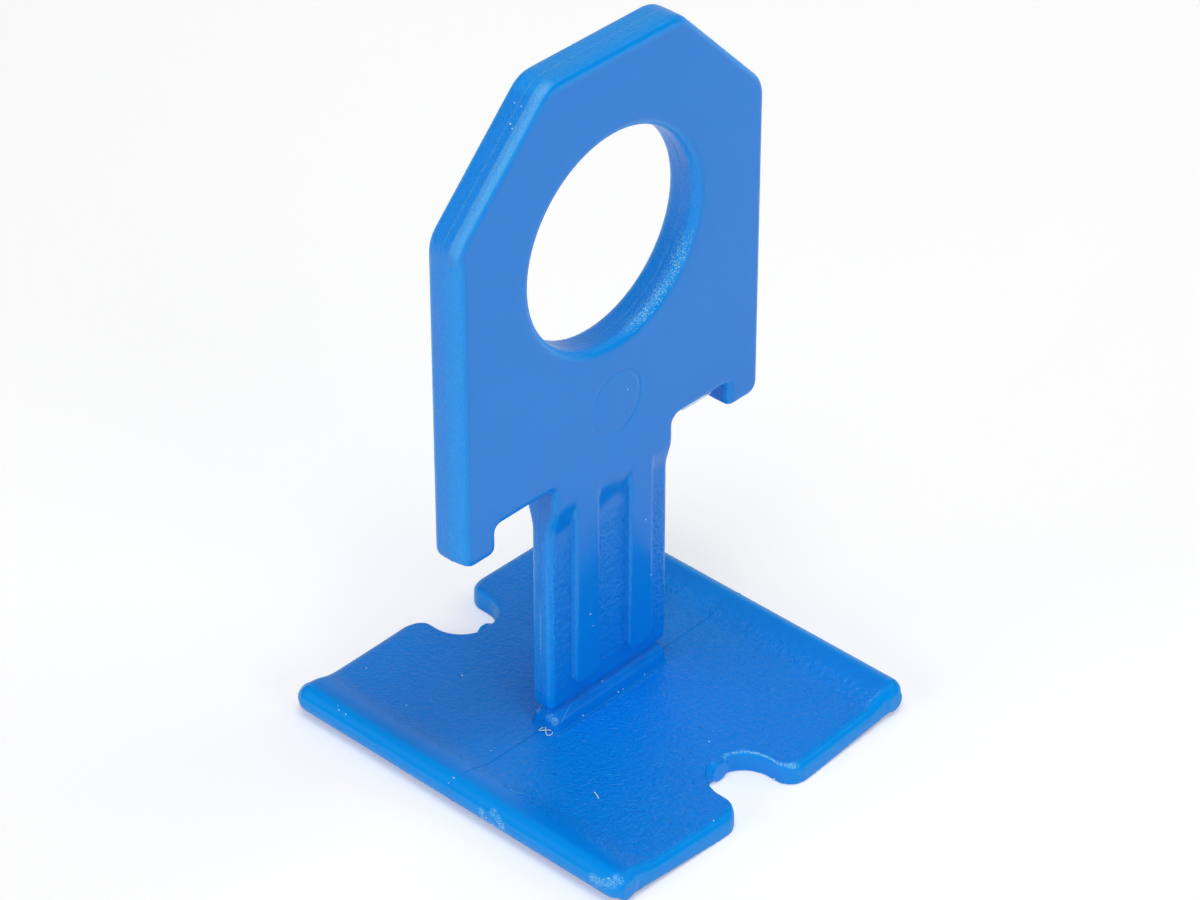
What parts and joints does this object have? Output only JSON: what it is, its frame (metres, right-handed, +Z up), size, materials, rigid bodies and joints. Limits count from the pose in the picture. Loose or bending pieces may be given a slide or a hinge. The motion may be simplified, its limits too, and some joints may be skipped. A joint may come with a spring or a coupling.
{
  "type": "tile levelling clip",
  "caption": "One-piece moulded clip with a square beaded base, ribbed break-off stem and a slant-shouldered head with a round grip hole and side hooks.",
  "frame": {"origin": "middle of the flat strip under the base, below the stem", "axes": "+Z up the stem, X along the head's width and the tile joint, Y through the head's thickness"},
  "size_m": [0.0308, 0.0322, 0.0558],
  "materials": {
    "blue_polypropylene": "satin moulded polypropylene with a fine spark-eroded grain"
  },
  "bodies": {
    "root": {"levelling_clip": "blue_polypropylene"}
  },
  "joints": []
}
